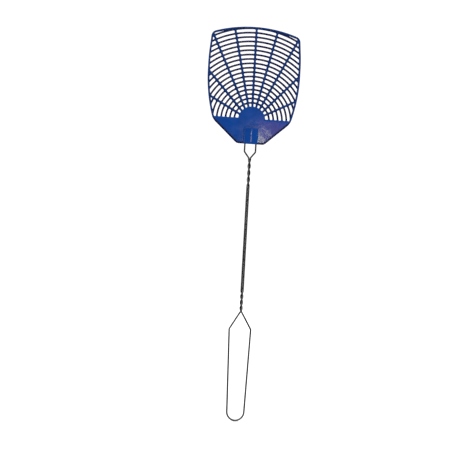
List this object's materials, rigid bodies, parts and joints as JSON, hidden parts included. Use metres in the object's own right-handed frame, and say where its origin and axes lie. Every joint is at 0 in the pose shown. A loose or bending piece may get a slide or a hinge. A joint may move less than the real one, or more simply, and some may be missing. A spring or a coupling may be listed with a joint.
{
  "type": "fly swatter",
  "caption": "Fly swatter: flat fan-ribbed plastic head pushed onto the two prongs of a doubled, twisted wire handle with a long open grip loop.",
  "frame": {"origin": "centre of the bend at the end of the grip loop, on the wire's centre plane", "axes": "+Z from the grip up to the head, X across the head's width, -Y out of the front face with the raised socket, +Y out of the flat back"},
  "size_m": [0.1126, 0.0046, 0.4748],
  "materials": {
    "steel_wire": "drawn, lightly oiled, dull",
    "blue_plastic": "smooth moulded, slightly translucent"
  },
  "bodies": {
    "handle": {"wire_handle": "steel_wire"},
    "swatter_head": {"head": "blue_plastic"}
  },
  "joints": [
    {"name": "head_pull_off", "type": "slide", "parent": "handle", "child": "swatter_head", "axis": [0, 0, 1], "range_m": [0, 0.018]}
  ]
}
